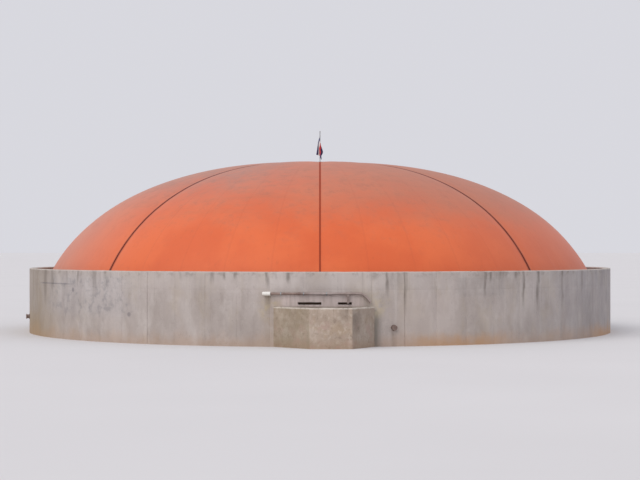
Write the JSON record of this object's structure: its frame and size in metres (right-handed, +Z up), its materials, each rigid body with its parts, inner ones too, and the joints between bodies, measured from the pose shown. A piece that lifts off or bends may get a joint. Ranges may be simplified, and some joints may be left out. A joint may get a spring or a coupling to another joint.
{
  "type": "biogas digester",
  "caption": "Round concrete digester tank with an open ring channel, a belted orange membrane gas dome and an overflow chamber.",
  "frame": {"origin": "on the tank's axis, at the underside of its floor, which is ground level", "axes": "+Z up, -Y towards the overflow chamber, +X to the right of it"},
  "size_m": [24.9976, 26.1988, 8.67],
  "materials": {
    "concrete": "matte",
    "stained_concrete": "matte",
    "membrane": "satin",
    "webbing": "matte",
    "galvanized_steel": "matte",
    "dark_pipe": "matte",
    "white_cap": "satin",
    "flag_cloth": "matte",
    "effluent": "gloss"
  },
  "bodies": {
    "root": {"tank_floor": "concrete", "wall_front": "concrete", "wall_front_right": "concrete", "wall_right": "concrete", "wall_back_right": "concrete", "wall_back": "concrete", "wall_back_left": "concrete", "wall_left": "concrete", "wall_front_left": "concrete", "inner_wall_1": "concrete", "inner_wall_2": "concrete", "inner_wall_3": "concrete", "inner_wall_4": "concrete", "membrane_gore_1": "membrane", "membrane_gore_2": "membrane", "membrane_gore_3": "membrane", "membrane_gore_4": "membrane", "membrane_gore_5": "membrane", "membrane_gore_6": "membrane", "membrane_gore_7": "membrane", "membrane_gore_8": "membrane", "membrane_crown": "membrane", "belt_1": "webbing", "belt_2": "webbing", "belt_3": "webbing", "belt_4": "webbing", "belt_5": "webbing", "belt_6": "webbing", "belt_7": "webbing", "belt_8": "webbing", "clamp_bar_1": "galvanized_steel", "clamp_bar_2": "galvanized_steel", "clamp_bar_3": "galvanized_steel", "clamp_bar_4": "galvanized_steel", "crown_plate": "galvanized_steel", "flag_mast": "galvanized_steel", "flag": "flag_cloth", "chamber_front": "stained_concrete", "chamber_left": "stained_concrete", "chamber_right": "stained_concrete", "chamber_floor": "stained_concrete", "pipe_run": "dark_pipe", "pipe_bend": "dark_pipe", "pipe_drop_leg": "dark_pipe", "pipe_cap": "white_cap", "pipe_clip_1": "galvanized_steel", "pipe_clip_2": "galvanized_steel", "pipe_clip_3": "galvanized_steel", "drain_port_1": "dark_pipe", "drain_port_2": "dark_pipe", "drain_port_3": "dark_pipe", "drain_port_4": "dark_pipe"}
  },
  "joints": []
}
